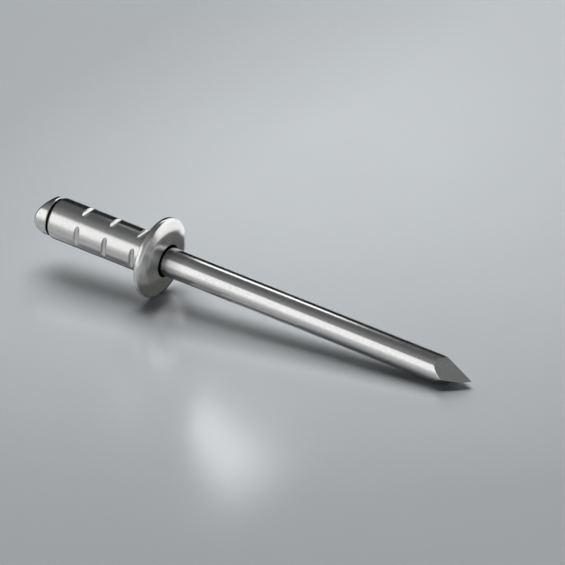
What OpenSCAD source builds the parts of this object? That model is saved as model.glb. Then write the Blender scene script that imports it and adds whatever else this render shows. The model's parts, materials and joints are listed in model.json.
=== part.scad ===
// Multi-grip blind (pop) rivet, unset, lying on its flange and its mandrel.
//
// Millimetres. Each piece is turned about +Z, with the bearing face of the flange at z = 0,
// the sleeve and the mandrel head below it and the pulling end of the mandrel above it.
// at_rest() then lays that axis along +X, dipped so that the flange rim and the mandrel's
// shoulder both touch one floor. The origin is the centre of the bearing face.
//
// A direction round the axis is an angle in degrees: 0 is the top of the lying rivet,
// 90 is the side towards -Y and 180 is the side it lies on.

/* [Sleeve] */
// Outer diameter of the sleeve
sleeve_d = 3.2; // [2.6:0.1:3.9]
// Length of the sleeve from the bearing face to its free end
sleeve_length = 9; // [7.5:0.1:16]
// Rounding of the free end's outer edge
end_round = 0.28; // [0.1:0.01:0.35]
// Radius of the fillet where the sleeve meets the bearing face
root_fillet = 0.22; // [0.1:0.01:0.35]

/* [Grip notches] */
// Rows of notches round the sleeve
notch_rows = 4; // [2:1:4]
// Notches along each row
notch_stations = 3; // [1:1:3]
// Distance from the bearing face to the first notch
notch_start = 1.3; // [0.9:0.02:1.6]
// Distance from one notch to the next along the sleeve
notch_pitch = 2.5; // [1:0.1:2.5]
// Width of a notch
notch_width = 0.46; // [0.2:0.02:0.5]
// Depth of a notch at its middle
notch_depth = 0.22; // [0.1:0.01:0.26]

/* [Flange] */
// Diameter of the flange
flange_d = 6.3; // [5.6:0.1:8]
// Height above the bearing face at which the rim is widest
rim_height = 0.2; // [0.15:0.01:0.35]
// Radius of the rim's rounding, from its widest line up to the outer face
rim_round = 0.38; // [0.3:0.01:0.5]
// Chamfer of the rim's edge at the bearing face
rim_chamfer = 0.1; // [0.05:0.01:0.14]
// Slope of the outer face from the rim's rounding to its crease, in degrees
rim_slope = 26; // [12:1:30]
// Diameter of the crease at which the outer face flattens
crease_d = 4.8; // [4:0.1:5]
// Slope of the outer face from the crease to the mouth, in degrees
face_slope = 10; // [0:1:12]

/* [Bore] */
// Radial clearance between the mandrel and the bore
bore_clearance = 0.03; // [0.01:0.01:0.1]
// Radial gap round the mandrel where the mouth opens in the outer face
mouth_gap = 0.18; // [0.12:0.01:0.3]
// Depth of the widened mouth
mouth_depth = 0.4; // [0.2:0.05:0.6]

/* [Mandrel] */
// Diameter of the mandrel
mandrel_d = 2.22; // [1.8:0.02:2.36]
// Length of the mandrel from the bearing face to its point
mandrel_reach = 28.3; // [20:0.1:45]
// Distance from the sleeve's free end to the middle of the break notch
break_depth = 2.6; // [1.5:0.1:5]
// Diameter left at the break notch
break_d = 1.5; // [1.2:0.05:1.7]
// Width of the break notch at the surface
break_width = 0.8; // [0.4:0.05:1]

/* [Mandrel head] */
// Diameter of the head
head_d = 3; // [2.6:0.02:3.1]
// Gap left open between the sleeve's free end and the head
groove_width = 0.15; // [0.1:0.01:0.3]
// Chamfer of the head's edge at that gap
head_chamfer = 0.1; // [0.02:0.01:0.15]
// Length of the head along the crest of its pinched end
head_length = 1.08; // [0.8:0.02:1.8]
// Radius to which the pinched end is rounded across its crest
crest_round = 1.9; // [1.7:0.05:4]
// Direction in which the upper side of the pinched end looks
crest_face = -3; // [-180:1:180]

/* [Mandrel point] */
// Distance of the apex from the mandrel's axis
apex_offset = 0.68; // [0:0.02:0.7]
// Direction in which the apex stands off the axis
apex_face = -123; // [-180:1:180]

/* [Hidden] */

$fn = 96;
cut = 12;       // size of a block that cuts away one side of a plane
overshoot = 1;  // how far a cutting shape runs past the surface it opens
collar_inset = 0.05;  // how far the collar stands inside the sleeve end's flat ring

sleeve_r = sleeve_d / 2;
flange_r = flange_d / 2;
mandrel_r = mandrel_d / 2;
head_r = head_d / 2;
bore_r = mandrel_r + bore_clearance;
mouth_r = mandrel_r + mouth_gap;

// The rim's rounding is an arc about this point of the section, and the outer face leaves
// it at a tangent and rises to the crease and on to the mouth.
rim_centre = [flange_r - rim_round, rim_height];
face_start = rim_centre + rim_round * [sin(rim_slope), cos(rim_slope)];
crease = [crease_d / 2, face_start[1] + (face_start[0] - crease_d / 2) * tan(rim_slope)];
mouth_z = crease[1] + (crease[0] - mouth_r) * tan(face_slope);

// The sleeve's wall limits the rounding of its free end and the depth of its notches.
wall = sleeve_r - bore_r;
end_r = min(end_round, wall * 0.65);
notch_cut = min(notch_depth, wall * 0.5);

// A notch is a round cutter laid across the sleeve, and its axis passes this far off centre.
notch_r = notch_width / 2;
notch_offset = sleeve_r - notch_cut + notch_r;

// The head sits on a collar that closes the bore's end and holds the head off the sleeve.
// The collar meets the flat ring that is left between the bore and the end's rounding.
ring_r = sleeve_r - end_r;
collar_r = ring_r - min(collar_inset, (ring_r - bore_r) / 2);
head_z = -sleeve_length - groove_width;

// The facets that the cutting jaws leave on the point. Each is [the direction it faces, its
// angle to the axis, how far it stands clear of the apex].
point_facets = [
    [35, 34, 0],
    [142, 20, 0.19],
    [152, 30, 0],
    [-55, 16, 0],
    [180, 13, 0]
];
apex = [for (t = [cos(apex_face), sin(apex_face)]) t * apex_offset];

// Where a facet leaves the mandrel's surface on the side it lies on: the height of the
// facet's plane there, from the bearing face.
function off_axis(face, at) = at[0] * cos(face) + at[1] * sin(face);
function facet_foot(f) = mandrel_reach
    - (off_axis(f[0], [-mandrel_r, 0]) - off_axis(f[0], apex)) / tan(f[1]) + f[2] / sin(f[1]);
shoulder_z = min([for (f = point_facets) facet_foot(f)]);

// The floor touches the rim's rounding and the mandrel's shoulder, and this dip of the axis
// makes one line touch both.
rest_run = shoulder_z - rim_height;
rest_drop = rim_centre[0] - mandrel_r;
rest_dip = atan2(rest_drop, rest_run) + asin(rim_round / norm([rest_run, rest_drop]));

// Lays the turned piece down: its +Z becomes +X dipped by rest_dip, and its -X side the top.
module at_rest() {
    rotate([0, 90 + rest_dip, 0]) children();
}

// Turns what is built facing the top (-X) so that it faces another direction.
module facing(face) {
    rotate([0, 0, face]) children();
}

// Everything outside one plane. The plane crosses the axis at z, faces the given direction
// and makes the given angle with the axis, so it narrows what it cuts towards +Z.
module outside_plane(face, angle, z) {
    facing(face)
        translate([0, 0, z])
            rotate([0, angle - 90, 0])
                translate([-cut / 2, -cut / 2, 0])
                    cube(cut);
}

// Section of the flange, the sleeve and the fillet between them, right of the axis.
module body_section() {
    difference() {
        union() {
            translate([0, -sleeve_length])
                square([ring_r, sleeve_length + rim_height]);
            translate([0, end_r - sleeve_length])
                square([sleeve_r, sleeve_length + rim_height - end_r]);
            translate([ring_r, end_r - sleeve_length])
                circle(end_r);
            polygon([
                [0, 0],
                [flange_r - rim_chamfer, 0],
                [flange_r, rim_chamfer],
                [flange_r, rim_height],
                rim_centre,
                face_start,
                crease,
                [mouth_r, mouth_z],
                [0, mouth_z]
            ]);
            intersection() {
                translate(rim_centre) circle(rim_round);
                translate(rim_centre) square(rim_round);
            }
            translate([sleeve_r, -root_fillet]) square(root_fillet);
        }
        translate([sleeve_r + root_fillet, -root_fillet]) circle(root_fillet);
        polygon([
            [-overshoot, -sleeve_length - overshoot],
            [bore_r, -sleeve_length - overshoot],
            [bore_r, mouth_z - mouth_depth],
            [mouth_r, mouth_z],
            [mouth_r, mouth_z + overshoot],
            [-overshoot, mouth_z + overshoot]
        ]);
    }
}

// The round cutters of every grip notch.
module notch_cutters() {
    for (row = [0 : notch_rows - 1], station = [0 : notch_stations - 1])
        facing(row * 360 / notch_rows)
            translate([-notch_offset, 0, -notch_start - station * notch_pitch])
                rotate([90, 0, 0])
                    cylinder(h = sleeve_d, r = notch_r, center = true, $fn = 48);
}

// Flange and notched sleeve, headed from one length of tube.
module rivet_body() {
    color([0.66, 0.67, 0.68])
        at_rest()
            difference() {
                rotate_extrude() body_section();
                notch_cutters();
            }
}

// Section of the mandrel before its two ends are cut to shape, right of the axis.
module mandrel_section() {
    break_z = -sleeve_length + break_depth;
    polygon([
        [0, head_z - head_length - overshoot / 2],
        [head_r, head_z - head_length - overshoot / 2],
        [head_r, head_z - head_chamfer],
        [head_r - head_chamfer, head_z],
        [collar_r, head_z],
        [collar_r, -sleeve_length],
        [mandrel_r, -sleeve_length],
        [mandrel_r, break_z - break_width / 2],
        [break_d / 2, break_z],
        [mandrel_r, break_z + break_width / 2],
        [mandrel_r, mandrel_reach],
        [0, mandrel_reach]
    ]);
}

// What the pinched end of the head loses: all that lies beyond a barrel laid across the axis.
module beyond_crest() {
    facing(crest_face)
        translate([0, 0, head_z - head_length])
            difference() {
                translate([-cut / 2, -cut / 2, -overshoot])
                    cube([cut, cut, overshoot + crest_round]);
                translate([0, 0, crest_round])
                    rotate([90, 0, 0])
                        cylinder(h = 2 * cut, r = crest_round, center = true);
            }
}

// The pull-through mandrel: head, shank with its break notch, and point.
module mandrel() {
    color([0.6, 0.61, 0.62])
        at_rest()
            difference() {
                rotate_extrude() mandrel_section();
                beyond_crest();
                for (f = point_facets)
                    outside_plane(f[0], f[1],
                        mandrel_reach + off_axis(f[0], apex) / tan(f[1]) + f[2] / sin(f[1]));
            }
}

rivet_body();
mandrel();
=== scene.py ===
# Looks of the multi-grip blind rivet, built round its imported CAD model.
import json
import math

import bpy
import numpy as np
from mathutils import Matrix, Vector


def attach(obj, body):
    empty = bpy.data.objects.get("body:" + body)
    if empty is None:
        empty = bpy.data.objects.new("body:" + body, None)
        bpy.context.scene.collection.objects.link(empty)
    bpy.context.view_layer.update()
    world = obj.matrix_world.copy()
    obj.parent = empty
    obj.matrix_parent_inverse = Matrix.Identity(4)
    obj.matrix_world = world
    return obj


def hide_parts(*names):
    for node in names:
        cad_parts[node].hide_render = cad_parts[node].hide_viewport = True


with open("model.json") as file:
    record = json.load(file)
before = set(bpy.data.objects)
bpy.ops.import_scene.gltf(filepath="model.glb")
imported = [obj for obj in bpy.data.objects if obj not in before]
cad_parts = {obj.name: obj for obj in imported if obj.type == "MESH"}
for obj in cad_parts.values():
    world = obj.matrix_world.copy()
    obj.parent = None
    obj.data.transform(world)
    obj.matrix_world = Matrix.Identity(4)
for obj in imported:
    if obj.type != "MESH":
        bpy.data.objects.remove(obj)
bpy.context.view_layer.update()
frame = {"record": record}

MM = 0.001

# ---------------------------------------------------------------- sizes, mm
# The rivet is built standing: +Z along its axis towards the point, bearing face at 0.
SLEEVE_R, SLEEVE_LENGTH, END_ROUND, ROOT_FILLET = 1.6, 9.0, 0.28, 0.22
NOTCH_ROWS, NOTCH_STATIONS, NOTCH_START, NOTCH_PITCH = 4, 3, 1.3, 2.5
NOTCH_R, NOTCH_DEPTH, NOTCH_EDGE = 0.23, 0.22, 0.02
FLANGE_R, RIM_HEIGHT, RIM_ROUND, RIM_EDGE = 3.15, 0.2, 0.38, 0.1
RIM_SLOPE, CREASE_R, CREASE_ROUND, FACE_SLOPE = 26, 2.4, 0.28, 10
BORE_R, MOUTH_R, MOUTH_DEPTH, MOUTH_ROUND = 1.14, 1.29, 0.4, 0.05
SHANK_R, REACH = 1.11, 28.3
BREAK_Z, BREAK_R, BREAK_WIDTH = -6.4, 0.75, 0.8
HEAD_R, HEAD_Z, HEAD_LENGTH, HEAD_EDGE, HEAD_ROUND = 1.5, -9.15, 1.08, 0.1, 0.26
COLLAR_R, CREST_ROUND, CREST_FACE = 1.27, 1.9, -3
APEX_OFFSET, APEX_FACE = 0.68, -123
SHOULDER_EDGE, SHOULDER_SOFT, FACET_SOFT = 0.05, 0.06, 0.05
TAPER_Z = 23  # from here on the rings of the shank lean towards the shoulder's outline

# The facets of the point: (the direction one faces, its angle to the axis, how far it stands
# clear of the apex).
POINT_FACETS = [(35, 34, 0), (142, 20, 0.19), (152, 30, 0), (-55, 16, 0), (180, 13, 0)]

DIRECTIONS = 384
ROUND = np.arange(DIRECTIONS) * 2 * math.pi / DIRECTIONS  # 0 is the top of the lying rivet

pull_axis = next(m for m in frame["record"]["mounts"] if m["name"] == "pull_shank")["axis"]
DIP = math.asin(-pull_axis[2])


# ---------------------------------------------------------------- shaping
def lay_down(points):
    """The standing rivet's points, mm, laid on the floor as the CAD lies, m."""
    x, y, z = points[..., 0], points[..., 1], points[..., 2]
    s, c = math.sin(DIP), math.cos(DIP)
    return np.stack([z * c - x * s, y, -x * c - z * s], -1) * MM


def ring_points(radius, height):
    """Points at every direction, for radii and heights whose last axis is the directions."""
    return np.stack([-radius * np.cos(ROUND), -radius * np.sin(ROUND), height], -1)


def everywhere(value):
    """One value for every direction."""
    return np.full(DIRECTIONS, float(value))


def arc(centre, radius, start, end, steps):
    """Points of an arc in the section, from one angle to another, in degrees."""
    t = np.radians(np.linspace(start, end, steps + 1))
    return [(centre[0] + radius * math.cos(k), centre[1] + radius * math.sin(k)) for k in t]


def part_way(start, end, distance):
    """The point of the section that lies this far from start towards end."""
    return tuple(np.add(start, np.subtract(end, start) * distance / math.dist(start, end)))


def bend(start, corner, end, steps):
    """Points of the curve that leaves start towards a corner and runs into end."""
    weights = [((1 - t) ** 2, 2 * t * (1 - t), t * t) for t in np.linspace(0, 1, steps + 1)]
    return [sum(w * np.asarray(p, float) for w, p in zip(row, (start, corner, end))) for row in weights]


def soft_corner(before, corner, after, size, steps):
    """A corner of the section rounded by a curve that starts and ends size away from it."""
    return bend(part_way(corner, before, size), corner, part_way(corner, after, size), steps)


def smooth_min(a, b, width):
    """The smaller value, with the change from one to the other rounded over a width."""
    h = np.clip(width - np.abs(a - b), 0, None) / width
    return np.minimum(a, b) - h * h * width / 4


def grid_object(name, rings, worn, painted_shade, loop=False):
    """A closed skin through rings of points, laid down. Its ends either meet or close in a point.

    worn marks rubbed edges, and the second mark gives painted shade where no light reaches, both from 0 to
    1."""
    n, m, _ = rings.shape
    k = np.arange(m)
    after = (k + 1) % m
    bands = [(i * m, (i + 1) % n * m) for i in range(n if loop else n - 1)]
    faces = [f for a, b in bands for f in np.stack([a + k, a + after, b + after, b + k], -1).tolist()]
    points = lay_down(rings.reshape(-1, 3)).tolist()
    worn, painted_shade = list(worn.reshape(-1)), list(painted_shade.reshape(-1))
    if not loop:
        for ring in (0, (n - 1) * m):
            pole = len(points)
            points.append(np.mean(points[ring : ring + m], 0).tolist())
            worn.append(worn[ring])
            painted_shade.append(painted_shade[ring])
            fan = [(ring + a, ring + b, pole) for a, b in zip(k.tolist(), after.tolist())]
            faces += [(b, a, pole) for a, b, pole in fan] if ring == 0 else fan
    mesh = bpy.data.meshes.new(name)
    mesh.from_pydata(points, [], faces)
    mesh.validate()
    for label, values in (("worn", worn), ("painted_shade", painted_shade)):
        mesh.attributes.new(label, "FLOAT", "POINT").data.foreach_set("value", values)
    mesh.shade_smooth()
    obj = bpy.data.objects.new(name, mesh)
    bpy.context.scene.collection.objects.link(obj)
    return obj


# ---------------------------------------------------------------- flange and sleeve
def wall_heights():
    """Heights of the rings on the sleeve's wall, close together at the notches."""
    free = -SLEEVE_LENGTH
    heights = {-ROOT_FILLET - 0.02, -ROOT_FILLET - 0.3, free + END_ROUND + 0.02, free + END_ROUND + 0.4}
    across = NOTCH_R * np.sin(np.radians(np.linspace(-90, 90, 17)))
    beside = [-1.25, -0.95, -0.6, -0.34, -0.27, -0.245, 0.245, 0.27, 0.34]
    for station in range(NOTCH_STATIONS):
        middle = -NOTCH_START - station * NOTCH_PITCH
        heights |= {round(middle + d, 5) for d in (*across, *beside)}
    return sorted(heights)


def body_profile():
    """Section of the body, once round: rows of (radius, height, worn, painted shade)."""
    rim = (FLANGE_R - RIM_ROUND, RIM_HEIGHT)
    slope, face = math.radians(RIM_SLOPE), math.radians(FACE_SLOPE)
    start = (rim[0] + RIM_ROUND * math.sin(slope), rim[1] + RIM_ROUND * math.cos(slope))
    crease = (CREASE_R, start[1] + (start[0] - CREASE_R) * math.tan(slope))
    mouth = (MOUTH_R, crease[1] + (CREASE_R - MOUTH_R) * math.tan(face))
    throat = (BORE_R, mouth[1] - MOUTH_DEPTH)
    free, edge, root = -SLEEVE_LENGTH, FLANGE_R - RIM_EDGE, SLEEVE_R + ROOT_FILLET

    rows = []

    def add(points, worn=0, painted_shade=0):
        rows.extend((r, z, worn, painted_shade) for r, z in points)

    # Rows marked 1 in their last value carry painted shade: the bore's end, the inner side of the lip, the
    # throat and the bore.
    add([(BORE_R, free), (BORE_R + 0.02, free)], painted_shade=1)
    add([(SLEEVE_R - END_ROUND - 0.01, free)])
    add(arc((SLEEVE_R - END_ROUND, free + END_ROUND), END_ROUND, -90, 0, 10), worn=1)
    add([(SLEEVE_R, z) for z in wall_heights()])
    add(arc((root, -ROOT_FILLET), ROOT_FILLET, 180, 90, 8))
    add([(r, 0) for r in (root + 0.02, 2.4, edge - 0.03)])
    add(arc((edge, RIM_EDGE), RIM_EDGE, -90, 0, 7), worn=1)
    add(arc(rim, RIM_ROUND, 0, 90 - RIM_SLOPE, 22), worn=0.5)
    add([part_way(start, crease, 0.02)])
    add(soft_corner(start, crease, mouth, CREASE_ROUND, 12), worn=0.2)
    add([part_way(mouth, crease, d) for d in (0.75, 0.4, 0.1)])
    lip = soft_corner(crease, mouth, throat, MOUTH_ROUND, 6)
    add(lip[:3], worn=0.8)
    add(lip[3:], worn=0.8, painted_shade=1)
    add([part_way(mouth, throat, d) for d in (0.08, 0.3)], painted_shade=1)
    add([(BORE_R, z) for z in (throat[1] - 0.01, throat[1] - 0.4, -2, -5, free + 0.05)], painted_shade=1)
    return np.array(rows, float)


def make_body():
    """The flange and sleeve, with each notch pressed into the wall."""
    profile = body_profile()
    radius, height, worn, painted_shade = (np.repeat(column[:, None], DIRECTIONS, 1) for column in profile.T)
    wall = np.isclose(profile[:, 0], SLEEVE_R)
    untouched, reach = 9, 0.9  # a radius outside the sleeve, and half a notch's span at most
    for row in range(NOTCH_ROWS):
        turn = (ROUND - row * 2 * math.pi / NOTCH_ROWS + math.pi) % (2 * math.pi) - math.pi
        for station in range(NOTCH_STATIONS):
            across = height[wall] + NOTCH_START + station * NOTCH_PITCH
            hit = (np.abs(across) <= NOTCH_R + 1e-6) & (np.abs(turn) < reach)
            round_cut = np.sqrt(np.clip(NOTCH_R**2 - across**2, 0, None))
            floor = (SLEEVE_R - NOTCH_DEPTH + NOTCH_R - round_cut) / np.cos(np.clip(turn, -reach, reach))
            floor = np.where(hit, floor, untouched)
            radius[wall] = smooth_min(radius[wall], floor, NOTCH_EDGE)
            worn[wall] = np.maximum(worn[wall], np.abs(floor - SLEEVE_R) < 1.5 * NOTCH_EDGE)
    return grid_object("rivet_body_skin", ring_points(radius, height), worn, painted_shade, loop=True)


# ---------------------------------------------------------------- mandrel
def head_rings():
    """The barrel-ended head, from its crest to its edge at the groove: (points, worn)."""
    lean = np.cos(ROUND - math.radians(CREST_FACE))
    top = HEAD_Z - HEAD_LENGTH

    def end(radius):
        return top + CREST_ROUND - np.sqrt(CREST_ROUND**2 - (radius * lean) ** 2)

    inner = HEAD_R - HEAD_ROUND
    rings = [(ring_points(r, end(r)), 0) for r in (0.02, 0.25, 0.5, 0.75, 0.95, 1.1, inner - 0.01)]
    base = HEAD_Z - HEAD_EDGE
    side = np.minimum(end(HEAD_R) + HEAD_ROUND, base - 0.05)  # where the side starts
    radii = [(r, 0) for r in (inner, HEAD_R, HEAD_R)]
    rounding = zip(bend(*radii, 11), bend(end(inner), end(HEAD_R), side, 11))
    rings += [(ring_points(r[0], z), 1) for r, z in rounding]
    rings += [(ring_points(HEAD_R, side + (base - side) * k), 0) for k in (0.04, 0.5, 0.94)]
    edge = arc((HEAD_R - HEAD_EDGE, base), HEAD_EDGE, 0, 90, 7)
    return rings + [(ring_points(r, everywhere(z)), 1) for r, z in edge]


def shank_rings():
    """Collar, neck, break notch and the plain shank up to its taper: (points, worn)."""
    free, crisp = -SLEEVE_LENGTH, 0.01
    section = [
        (COLLAR_R + crisp, HEAD_Z),
        (COLLAR_R, HEAD_Z + crisp),
        (COLLAR_R, free - crisp),
        (COLLAR_R - crisp, free),
        (SHANK_R + crisp, free),
        (SHANK_R, free + crisp),
        (SHANK_R, BREAK_Z - BREAK_WIDTH / 2),
        (BREAK_R, BREAK_Z),
        (SHANK_R, BREAK_Z + BREAK_WIDTH / 2),
    ]
    section += [(SHANK_R, z) for z in (*range(-3, 22, 3), TAPER_Z)]
    return [(ring_points(r, everywhere(z)), 0) for r, z in section]


def point_height(plan, soft):
    """Height of the faceted point over places of the plan, with its edges rounded over a width."""
    z = 99.0
    for face, angle, stand in POINT_FACETS:
        f, a = math.radians(face), math.radians(angle)
        off = (plan - apex_place()) @ (math.cos(f), math.sin(f))
        z = smooth_min(z, REACH - off / math.tan(a) + stand / math.sin(a), soft)
    return z


def apex_place():
    turn = math.radians(APEX_FACE)
    return APEX_OFFSET * np.array([math.cos(turn), math.sin(turn)])


def point_rings():
    """The shank's last stretch, its shoulder and the faceted point: (points, worn)."""
    apex = apex_place()
    rim = SHANK_R * np.stack([np.cos(ROUND), np.sin(ROUND)], -1)
    shoulder = point_height(rim, SHOULDER_SOFT)
    foot = shoulder - SHOULDER_EDGE
    leaning = [TAPER_Z + (foot - TAPER_Z) * k for k in (0.25, 0.5, 0.75, 0.92)]
    rings = [(ring_points(SHANK_R, z), 0) for z in (*leaning, foot - 0.01)]

    def standing(plan, height):
        return np.stack([-plan[:, 0], -plan[:, 1], height], -1)

    # Where the rounding of the shoulder ends, as a share of the way from the apex to the rim.
    inner = 1 - SHOULDER_EDGE * 0.35 / np.linalg.norm(rim - apex, axis=1)
    inside = apex + inner[:, None] * (rim - apex)
    end = standing(inside, point_height(inside, SHOULDER_SOFT))
    rounding = bend(standing(rim, foot), standing(rim, shoulder), end, 5)
    rings += [(points, 1) for points in rounding]
    for share in (0.995, *(1 - np.linspace(0, 1, 64)[1:-1] ** 1.15), 0.006):
        plan = apex + (inner * share)[:, None] * (rim - apex)
        rings.append((standing(plan, point_height(plan, FACET_SOFT)), 0))
    return rings


def make_mandrel():
    """Head, shank and point as one skin, with painted shade in the groove and in the flange's mouth."""
    points, worn = zip(*head_rings(), *shank_rings(), *point_rings())
    points = np.array(points)
    radius, height = np.hypot(points[..., 0], points[..., 1]), points[..., 2]
    # Painted shade in the groove under the head and on the shank inside the sleeve and the flange's mouth.
    painted_shade_zone = (height > HEAD_Z - 0.01) & (radius < HEAD_R - 0.05) & (height < 0.95)
    worn = np.repeat(np.array(worn, float)[:, None], DIRECTIONS, 1)
    return grid_object("mandrel_skin", points, worn, painted_shade_zone.astype(float))


# ---------------------------------------------------------------- materials
class Nodes:
    """Builds the node tree of a material or a world with little text."""

    def __init__(self, owner):
        owner.use_nodes = True
        self.tree = owner.node_tree

    def add(self, kind, inputs=None, **settings):
        node = self.tree.nodes.new("ShaderNode" + kind)
        for key, value in settings.items():
            setattr(node, key, value)
        for key, value in (inputs or {}).items():
            self.put(node.inputs[key], value)
        return node

    def put(self, socket, value):
        if isinstance(value, bpy.types.NodeSocket):
            self.tree.links.new(value, socket)
        elif isinstance(value, bpy.types.Node):
            self.tree.links.new(value.outputs[0], socket)
        else:
            socket.default_value = value

    def math(self, operation, a, b):
        return self.add("Math", {0: a, 1: b}, operation=operation)

    def total(self, first, *others):
        for value in others:
            first = self.math("ADD", first, value)
        return first

    def product(self, first, *others):
        for value in others:
            first = self.math("MULTIPLY", first, value)
        return first

    def remap(self, value, low, high, to_low, to_high, **settings):
        return self.add("MapRange", {0: value, 1: low, 2: high, 3: to_low, 4: to_high}, **settings)

    def spread(self, noise, amount, middle=0.0):
        """A noise spread evenly round a middle value."""
        return self.remap(noise, 0.3, 0.7, middle - amount, middle + amount)

    def noise(self, where, scale, detail, roughness):
        inputs = {"Vector": where, "Scale": scale, "Detail": detail, "Roughness": roughness}
        return self.add("TexNoise", inputs).outputs[0]

    def scaled(self, colour, factor):
        return self.add("VectorMath", {0: colour, "Scale": factor.outputs[0]}, operation="SCALE")


STEEL = (0.612, 0.61, 0.603)
# Painted shade: where the mesh marks places that no light reaches, the steel's colour is cut to this share.
PAINTED_SHADE_TONE = 0.06  # what is left of the steel's colour where no light reaches


def steel(name, rough, stretch, streak):
    """Satin steel. stretch scales the grain along and across the axis, streak is its strength."""
    material = bpy.data.materials.new(name)
    n = Nodes(material)
    shader = n.tree.nodes["Principled BSDF"]
    place = n.add("TexCoord").outputs["Object"]
    along = n.add("Mapping", {"Vector": place, "Rotation": (0, -DIP, 0)}, vector_type="POINT")
    grain_place = n.add("Mapping", {"Vector": along, "Scale": stretch}, vector_type="POINT")
    grain = n.noise(grain_place, 5200, 2, 0.6)
    speck = n.noise(along, 13000, 2, 0.5)
    cloud = n.noise(along, 700, 3, 0.55)
    worn = n.add("Attribute", attribute_name="worn").outputs["Fac"]
    painted_shade = n.add("Attribute", attribute_name="painted_shade").outputs["Fac"]

    rubbed = n.math("MULTIPLY", worn, 0.03)
    tone = n.total(n.spread(grain, streak), n.spread(cloud, 0.02), n.spread(speck, 0.09), rubbed, 1.0)
    # Painted shade: the colour falls to a small share where the mesh marks places that no light reaches.
    tone = n.product(tone, n.remap(painted_shade, 0, 1, 1, PAINTED_SHADE_TONE))
    n.put(shader.inputs["Base Color"], n.scaled(STEEL, tone))
    shader.inputs["Metallic"].default_value = 1
    uneven = n.total(n.spread(cloud, 0.012, rough), n.spread(speck, 0.02))
    n.put(shader.inputs["Roughness"], n.math("SUBTRACT", uneven, rubbed))
    height = n.total(n.product(grain, 0.6), n.product(speck, 0.4))
    n.put(shader.inputs["Normal"], n.add("Bump", {"Strength": 0.1, "Distance": 0.01 * MM, "Height": height}))
    return material


def floor_material():
    """Pale grey board with a slight gloss. Its tone carries painted shade: darker away from its middle and
    towards -X.
    """
    material = bpy.data.materials.new("floor_grey")
    n = Nodes(material)
    shader = n.tree.nodes["Principled BSDF"]
    place = n.add("TexCoord").outputs["Object"]
    middle = (-0.002, 0.024, 0)
    away = n.add("VectorMath", {0: place, 1: middle}, operation="DISTANCE").outputs["Value"]
    x = n.add("SeparateXYZ", {0: place}).outputs["X"]
    # Painted shade: the first two factors darken the board away from its middle and towards -X; the noises
    # are random tone.
    tone = n.product(
        n.remap(away, 0.008, 0.055, 1.0, 0.76),
        n.remap(x, -0.026, -0.006, 0.78, 1),
        n.spread(n.noise(place, 45, 3, 0.5), 0.015, 1),
        n.spread(n.noise(place, 2500, 2, 0.5), 0.005, 1),
    )
    n.put(shader.inputs["Base Color"], n.scaled((0.48, 0.503, 0.52), tone))
    shader.inputs["Roughness"].default_value = 0.18
    shader.inputs["Specular IOR Level"].default_value = 0.7
    return material


def glow_material(name, strength, one_sided=False, reach=None):
    """Plain white light. A one-sided sheet is clear from behind, and reach, m, is where light ends."""
    material = bpy.data.materials.new(name)
    n = Nodes(material)
    if reach:
        strength = n.remap(n.add("LightPath").outputs["Ray Length"], reach, 1.3 * reach, strength, 0)
    glow = n.add("Emission", {"Color": (1, 1, 1, 1), "Strength": strength})
    if one_sided:
        behind = n.add("NewGeometry").outputs["Backfacing"]
        glow = n.add("MixShader", {0: behind, 1: glow, 2: n.add("BsdfTransparent")})
    n.put(n.tree.nodes["Material Output"].inputs["Surface"], glow)
    return material


# ---------------------------------------------------------------- set the pieces in the frame
body = make_body()
body.data.materials.append(steel("sleeve_satin_steel", 0.24, (1.6, 1.2, 1.2), 0.03))
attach(body, "root")
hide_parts("rivet_body")

mandrel = make_mandrel()
mandrel.data.materials.append(steel("mandrel_satin_steel", 0.2, (0.7, 1.6, 1.6), 0.04))
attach(mandrel, "root")
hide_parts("mandrel")

# ---------------------------------------------------------------- stage
# The camera looks along -back. Its turn is from the rivet's side, its rise from the floor.
CAMERA_TURN, CAMERA_RISE = math.radians(34.89), math.radians(26.26)
level = Vector((-math.sin(CAMERA_TURN), math.cos(CAMERA_TURN), 0))
right = Vector((math.cos(CAMERA_TURN), math.sin(CAMERA_TURN), 0))
up = level * math.sin(CAMERA_RISE) + Vector((0, 0, math.cos(CAMERA_RISE)))
back = right.cross(up)

AXIS = Vector((math.cos(DIP), 0, -math.sin(DIP)))
MIDDLE = Vector((0.006, 0, 0))  # what the softboxes face
FLOOR_HALF = 2.0
floor_z = min((o.matrix_world @ v.co).z for o in (body, mandrel) for v in o.data.vertices)


def sheet(name, corners, material):
    """A flat polygon of the stage."""
    mesh = bpy.data.meshes.new(name)
    mesh.from_pydata([tuple(c) for c in corners], [], [range(len(corners))])
    mesh.materials.append(material)
    obj = bpy.data.objects.new(name, mesh)
    bpy.context.scene.collection.objects.link(obj)
    return obj


def softbox(name, azimuth, elevation, distance, width, height, strength):
    """A glowing panel that faces the rivet; azimuth 0 is +X and 90 is +Y."""
    a, e = math.radians(azimuth), math.radians(elevation)
    out = Vector((math.cos(a) * math.cos(e), math.sin(a) * math.cos(e), math.sin(e)))
    across = out.cross(Vector((0, 0, 1))).normalized()
    u, v = across * width / 2, across.cross(out) * height / 2
    centre = MIDDLE + out * distance
    corners = [centre - u - v, centre + u - v, centre + u + v, centre - u + v]
    obj = sheet(name, corners, glow_material(name, strength))
    obj.visible_camera = False
    return obj


def only_reflected(obj):
    """Only reflections show this sheet, in the steel and in the floor's gloss. It lights nothing."""
    obj.visible_camera = obj.visible_diffuse = obj.visible_shadow = obj.visible_transmission = False


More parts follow.
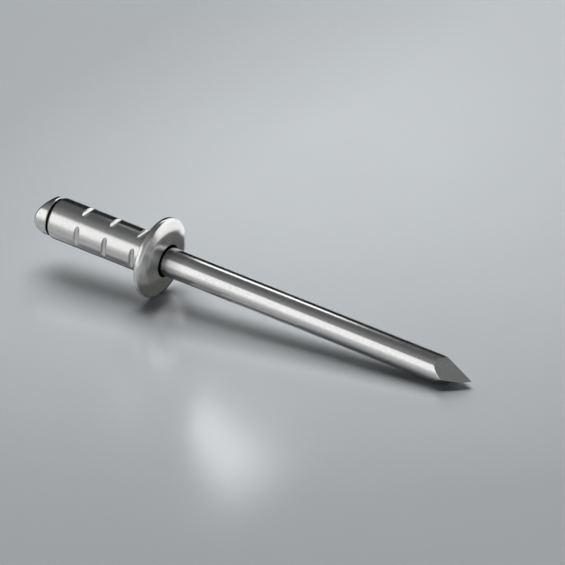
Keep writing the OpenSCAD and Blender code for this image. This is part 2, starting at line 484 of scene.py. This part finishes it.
def glint(x, turn, radius, distance):
    """The point, mm, that the camera sees mirrored in a cylinder round the axis.

    turn is the angle round the axis, from facing the camera towards the top."""
    facing = (back - back.dot(AXIS) * AXIS).normalized()
    above = facing.cross(AXIS)
    t = math.radians(turn)
    normal = math.cos(t) * facing + math.sin(t) * above
    mirrored = 2 * back.dot(normal) * normal - back
    return AXIS * x + normal * radius + mirrored * distance


floor = sheet(
    "floor",
    [(x * FLOOR_HALF, y * FLOOR_HALF, 0) for x, y in ((-1, -1), (1, -1), (1, 1), (-1, 1))],
    floor_material(),
)
floor.location.z = floor_z

top = softbox("top_softbox", 130, 52, 0.35, 0.3, 0.44, 5.9)
top.visible_glossy = False

# Panels that only reflections see: azimuth, elevation, distance, width, height, strength.
PANELS = {
    "key_softbox": (-122, 20, 0.3, 0.36, 0.23, 1.4),
    "back_softbox": (66, 21, 0.3, 0.56, 0.24, 1.5),
    "fill_softbox": (-38, 15, 0.3, 0.62, 0.17, 0.55),
    "left_flag": (131, 15, 0.2, 0.16, 0.16, 0),
}
for name, settings in PANELS.items():
    only_reflected(softbox(name, *settings))

# How bright the floor looks in the steel, where that differs from the floor: strength, outline in mm.
GROUND = {
    "ground_left": (0.02, [(-60, 0), (0.4, 0), (0.4, 6), (-60, 6)]),
    "ground_right": (
        0.12,
        [(4, -1), (5, -1), (8, 2), (14, 6), (60, 6), (60, 18)]
        + [(5, 18), (5, 12.5), (0.4, 12.5), (0.4, 1.5), (4, 1.5)],
    ),
    "ground_mouth": (0.19, [(2.2, -1), (4, -1), (4, 1.5), (2.2, 1.5)]),
    "ground_near": (0.11, [(0.4, -3.2), (2.2, -3.2), (2.2, 1.5), (0.4, 1.5)]),
    "ground_side": (0.27, [(2.2, -3.2), (5, -3.2), (5, -1.2), (2.2, -1)]),
    "ground_front": (0.44, [(5, -3.2), (12.5, -2.8), (12.5, -1.8), (5, -1.6)]),
    "ground_low": (0.55, [(-16, -9), (-0.6, -9), (-0.6, -3.1), (-16, -3.1)]),
    "ground_far": (1.1, [(-300, -300), (300, -300), (300, -24), (-300, -24)]),
    "ground_back": (1.3, [(-10, 12.5), (5, 12.5), (5, 18), (120, 18), (120, 120), (-10, 120)]),
}
CARD_LIFT = 0.05 * MM
for name, (strength, outline) in GROUND.items():
    corners = [(x * MM, y * MM, floor_z + CARD_LIFT) for x, y in outline]
    only_reflected(sheet(name, corners, glow_material(name, strength, one_sided=True)))

# Strips mirrored along a cylinder: its radius, (x, distance) at the left and at the right, the
# turns between which the strip shows, its strength and, in metres, its reach. The long strip's
# light stops at its reach, as no real lamp's does, to keep its mirror image in the floor short.
STRIPS = {
    "shank_strip": (SHANK_R, (3.6, 14), (18, 50), (45.5, 52), 2.9, 0.045),
    "sleeve_strip": (SLEEVE_R, (-4.2, 14), (-1.2, 14), (47, 50.5), 0.7, None),
}
for name, (radius, left, far, (low, high), strength, reach) in STRIPS.items():
    ends = ((left, low), (left, high), (far, high), (far, low))
    corners = [glint(x, turn, radius, distance) * MM for (x, distance), turn in ends]
    only_reflected(sheet(name, corners, glow_material(name, strength, reach=reach)))

# The world is darker towards +Y, dim where it lights the floor and pale where the camera sees it.
SKY_NEAR, SKY_FAR, SKY_LIGHT, SKY_SEEN = 0.3, 0.13, 0.015, 0.5
world = bpy.data.worlds.new("studio")
n = Nodes(world)
side = n.add("SeparateXYZ", {0: n.add("TexCoord").outputs["Generated"]}).outputs["Y"]
ray = n.add("LightPath").outputs
sky = n.remap(side, -0.65, 0.3, SKY_NEAR, SKY_FAR, interpolation_type="SMOOTHERSTEP")
sky = n.remap(ray["Is Diffuse Ray"], 0, 1, sky, SKY_LIGHT)
sky = n.remap(ray["Is Camera Ray"], 0, 1, sky, SKY_SEEN)
n.put(n.tree.nodes["Background"].inputs["Strength"], sky)
n.tree.nodes["Background"].inputs["Color"].default_value = (0.98, 1, 1.02, 1)
bpy.context.scene.world = world
bpy.context.scene.view_settings.view_transform = "Standard"

# ---------------------------------------------------------------- camera
camera = bpy.data.objects.new("camera", bpy.data.cameras.new("camera"))
camera.data.type = "ORTHO"
camera.data.ortho_scale = 0.04204
camera.data.clip_start, camera.data.clip_end = 0.001, 5
camera.rotation_mode = "QUATERNION"
camera.rotation_quaternion = back.to_track_quat("Z", "Y")
camera.location = right * 0.00932 - up * 0.00192 + back * 0.15
bpy.context.scene.collection.objects.link(camera)
bpy.context.scene.camera = camera
